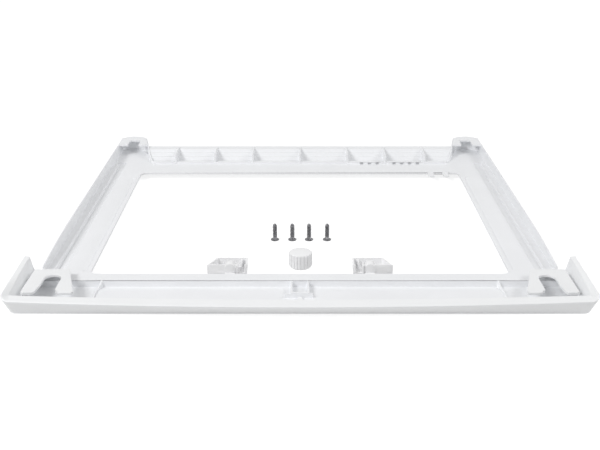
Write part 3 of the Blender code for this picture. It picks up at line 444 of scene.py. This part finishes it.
def plated_steel():
    """Rolled steel under dark passivated zinc: a metal with soft gloss, whose colour is mottled partly
    by the passivation and partly by painted glints.
    """
    material = bpy.data.materials.new("dark_zinc_steel")
    material.use_nodes = True
    tree = material.node_tree
    shader = tree.nodes["Principled BSDF"]
    shader.inputs["Metallic"].default_value = 1.0
    place = add(tree, "ShaderNodeTexCoord")
    # the colour is mottled in patches of a millimetre or two: partly the passivation's own mottling,
    # partly painted glints that stand in for reflections
    mottle_and_glints = add(tree, "ShaderNodeTexNoise", {"Scale": 1000 / MOTTLE_AND_GLINT_MM, "Detail": 4.0},
                 {"Vector": place.outputs["Object"]})
    # the ramp's light end gives the painted glints, its dark end the passivation
    ramp = add(tree, "ShaderNodeValToRGB", {}, {"Fac": mottle_and_glints.outputs["Fac"]})
    ramp.color_ramp.elements[0].position = 0.3
    ramp.color_ramp.elements[0].color = linear("49494b")
    ramp.color_ramp.elements[1].position = 0.7
    ramp.color_ramp.elements[1].color = linear("98989b")
    tree.links.new(ramp.outputs["Color"], shader.inputs["Base Color"])
    gloss = add(tree, "ShaderNodeMapRange", {"To Min": 0.26, "To Max": 0.42},
                {"Value": mottle_and_glints.outputs["Fac"]})
    tree.links.new(gloss.outputs["Result"], shader.inputs["Roughness"])
    return material


def extrude_up(distance, scale):
    """Extrude the selected face upwards and scale the new end about the Z axis."""
    bpy.ops.mesh.extrude_region_move(TRANSFORM_OT_translate={"value": (0, 0, distance)})
    bpy.ops.transform.resize(value=(scale, scale, 1))


def thread(name, start):
    """Helical ridge with a four-sided section, from a height upwards."""
    bpy.ops.object.select_all(action="DESELECT")
    bpy.ops.mesh.primitive_circle_add(vertices=4, radius=1, fill_type="NGON", location=(0, 0, 0))
    ridge = bpy.context.object
    ridge.name = name
    bpy.ops.object.mode_set(mode="EDIT")
    bpy.ops.mesh.select_all(action="SELECT")
    bpy.ops.transform.rotate(value=pi / 2, orient_axis="X", center_override=(0, 0, 0))
    reach = CREST_RADIUS - SHANK_RADIUS + THREAD_ROOT
    bpy.ops.transform.resize(value=(reach, 1, THREAD_PITCH * THREAD_HALF_WIDTH),
                             center_override=(0, 0, 0))
    bpy.ops.transform.translate(value=(SHANK_RADIUS - THREAD_ROOT, 0, start))
    bpy.ops.object.mode_set(mode="OBJECT")
    bpy.ops.object.transform_apply(location=True, rotation=True, scale=True)
    helix = ridge.modifiers.new("helix", "SCREW")
    helix.screw_offset = THREAD_PITCH
    helix.iterations = THREAD_TURNS
    helix.steps = THREAD_STEPS
    helix.render_steps = THREAD_STEPS
    helix.use_merge_vertices = False
    bpy.ops.object.modifier_apply(modifier=helix.name)
    # the ridge's two ends are closed
    bpy.ops.object.mode_set(mode="EDIT")
    bpy.ops.mesh.select_all(action="SELECT")
    bpy.ops.mesh.fill_holes(sides=4)
    bpy.ops.object.mode_set(mode="OBJECT")
    return ridge


def cut_cross(screw):
    """Cut the cross recess into the driven side, one blade after the other."""
    blades = []
    for width, depth in ((RECESS_LENGTH, RECESS_WIDTH), (RECESS_WIDTH, RECESS_LENGTH)):
        bpy.ops.object.select_all(action="DESELECT")
        bpy.ops.mesh.primitive_cube_add(size=1, location=(0, 0, RECESS_MIDDLE))
        blade = bpy.context.object
        blade.scale = (width, depth, RECESS_HEIGHT)
        bpy.ops.object.transform_apply(location=True, rotation=True, scale=True)
        choose(blade, "FACE", lambda middle, normal: normal.z > 0.9)
        bpy.ops.transform.resize(value=(RECESS_TAPER, RECESS_TAPER, 1), center_override=(0, 0, 0))
        bpy.ops.object.mode_set(mode="OBJECT")
        blades.append(blade)
    for blade in blades:
        combine(screw, blade, "DIFFERENCE")


def screw_piece(number):
    """A screw on its head: the head's driven side is on the floor, and the tip points up."""
    low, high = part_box("screw_%d" % number)
    height = high[2] - low[2]
    x, y = (low[0] + high[0]) / 2, (low[1] + high[1]) / 2
    screw = new_cylinder("screw_piece_%d" % number, HEAD_RADIUS, 0, HEAD_RIM, 40)
    # head: a slightly domed driven side, a thin rim and a cone up to the shank
    choose(screw, "EDGE", lambda middle, along: middle.z < TINY and abs(along.z) < TINY)
    bpy.ops.mesh.bevel(offset=HEAD_DOME, segments=3, affect="EDGES")
    choose(screw, "EDGE", lambda middle, along: middle.z > HEAD_RIM - TINY and abs(along.z) < TINY)
    bpy.ops.mesh.bevel(offset=HEAD_RIM_EDGE, segments=2, affect="EDGES")
    choose(screw, "FACE", lambda middle, normal: normal.z > 0.99)
    radius = HEAD_RADIUS - HEAD_RIM_EDGE
    head_top = HEAD_RIM + HEAD_NECK
    for rise, scale in HEAD_CONE:
        extrude_up(rise, scale)
        radius *= scale
        head_top += rise
    extrude_up(HEAD_NECK, SHANK_RADIUS / radius)
    extrude_up(height - head_top - TIP_LENGTH, 1)
    for scale in TIP_SCALES:
        extrude_up(TIP_LENGTH / len(TIP_SCALES), scale)
    bpy.ops.object.mode_set(mode="OBJECT")
    cut_cross(screw)
    ridge = thread("ridge", HEAD_RIM + THREAD_START)
    select_only(screw)
    ridge.select_set(True)
    bpy.ops.object.join()
    place_piece(screw, x, y)
    bpy.ops.object.shade_smooth_by_angle(angle=SMALL_SMOOTH_ANGLE)
    return screw


zinc = plated_steel()
for number in range(1, 5):
    finish(screw_piece(number), zinc, "screw_%d" % number, "screw_%d" % number)


# Floor A white paper sheet. The camera and clear reflections see it as white, and every other ray
# sees a matt sheet with a weak glow.
FLOOR_HALF = 6.0
PULP_MM = 25
PULP_TONES = (0.565, 0.575)
GLOW_ROOM = 0.16
GLOW_SEEN = 0.70


def seen_directly(tree):
    """1 for rays from the camera, from a glossy reflection or through glass, 0 for all others."""
    path = add(tree, "ShaderNodeLightPath")
    either = add(tree, "ShaderNodeMath", {"operation": "MAXIMUM"})
    tree.links.new(path.outputs["Is Camera Ray"], either.inputs[0])
    tree.links.new(path.outputs["Is Glossy Ray"], either.inputs[1])
    clear = add(tree, "ShaderNodeMath", {"operation": "MAXIMUM"})
    tree.links.new(either.outputs[0], clear.inputs[0])
    tree.links.new(path.outputs["Is Transmission Ray"], clear.inputs[1])
    return clear.outputs[0]


def paper_sheet():
    """Uncoated white paper: matt, with a hardly visible clouding of its pulp."""
    material = bpy.data.materials.new("white_paper")
    material.use_nodes = True
    tree = material.node_tree
    tree.nodes.clear()
    output = add(tree, "ShaderNodeOutputMaterial")
    place = add(tree, "ShaderNodeTexCoord")
    pulp = add(tree, "ShaderNodeTexNoise", {"Scale": 1000 / PULP_MM, "Detail": 3.0},
               {"Vector": place.outputs["Object"]})
    tone = add(tree, "ShaderNodeValToRGB", {}, {"Fac": pulp.outputs["Fac"]})
    for k in (0, 1):
        tone.color_ramp.elements[k].color = (PULP_TONES[k], PULP_TONES[k], PULP_TONES[k], 1)
    matt = add(tree, "ShaderNodeBsdfDiffuse", {}, {"Color": tone.outputs["Color"]})
    level = add(tree, "ShaderNodeMapRange", {"To Min": GLOW_ROOM, "To Max": GLOW_SEEN},
                {"Value": seen_directly(tree)})
    glow = add(tree, "ShaderNodeEmission", {}, {"Strength": level.outputs["Result"]})
    both = add(tree, "ShaderNodeAddShader")
    tree.links.new(matt.outputs[0], both.inputs[0])
    tree.links.new(glow.outputs[0], both.inputs[1])
    tree.links.new(both.outputs[0], output.inputs["Surface"])
    return material


bpy.ops.object.select_all(action="DESELECT")
bpy.ops.mesh.primitive_plane_add(size=2 * FLOOR_HALF, location=(0, 0, 0))
floor = bpy.context.object
floor.name = "floor"
floor.data.materials.append(paper_sheet())


# Light
# A white room with a key softbox at the upper left front and a weaker one on the right.
ROOM_STRENGTH = 0.60
SOFTBOX_SIZE = 1.0

world = bpy.data.worlds.new("studio")
bpy.context.scene.world = world
world.use_nodes = True
tree = world.node_tree
tree.nodes.clear()
output = add(tree, "ShaderNodeOutputWorld")
room = add(tree, "ShaderNodeBackground", {"Strength": ROOM_STRENGTH})
white = add(tree, "ShaderNodeBackground", {"Color": (1, 1, 1, 1), "Strength": 1.0})
choice = add(tree, "ShaderNodeMixShader", {}, {"Fac": seen_directly(tree)})
tree.links.new(room.outputs[0], choice.inputs[1])
tree.links.new(white.outputs[0], choice.inputs[2])
tree.links.new(choice.outputs[0], output.inputs["Surface"])


def softbox(name, place, energy):
    lamp = bpy.data.lights.new(name, "AREA")
    lamp.size = SOFTBOX_SIZE
    lamp.energy = energy
    holder = bpy.data.objects.new(name, lamp)
    holder.location = place
    holder.rotation_euler = (-Vector(place)).to_track_quat("-Z", "Y").to_euler()
    bpy.context.scene.collection.objects.link(holder)


softbox("key_softbox", (-2.1, -1.6, 2.3), 50)
softbox("fill_softbox", (2.6, -0.3, 2.2), 24)


# Camera
# The photo's view: from the front, 22 degrees down, with a normal lens.
CAMERA_PLACE = (0, -1.0605, 0.4195)
CAMERA_TILT = radians(68)

camera = bpy.data.cameras.new("camera")
camera.sensor_fit = "HORIZONTAL"
camera.sensor_width = 36
camera.lens = 53.46
camera.clip_start = 0.01
camera_object = bpy.data.objects.new("camera", camera)
camera_object.location = CAMERA_PLACE
camera_object.rotation_euler = (CAMERA_TILT, 0, 0)
bpy.context.scene.collection.objects.link(camera_object)
bpy.context.scene.camera = camera_object
bpy.context.scene.view_settings.view_transform = "Standard"
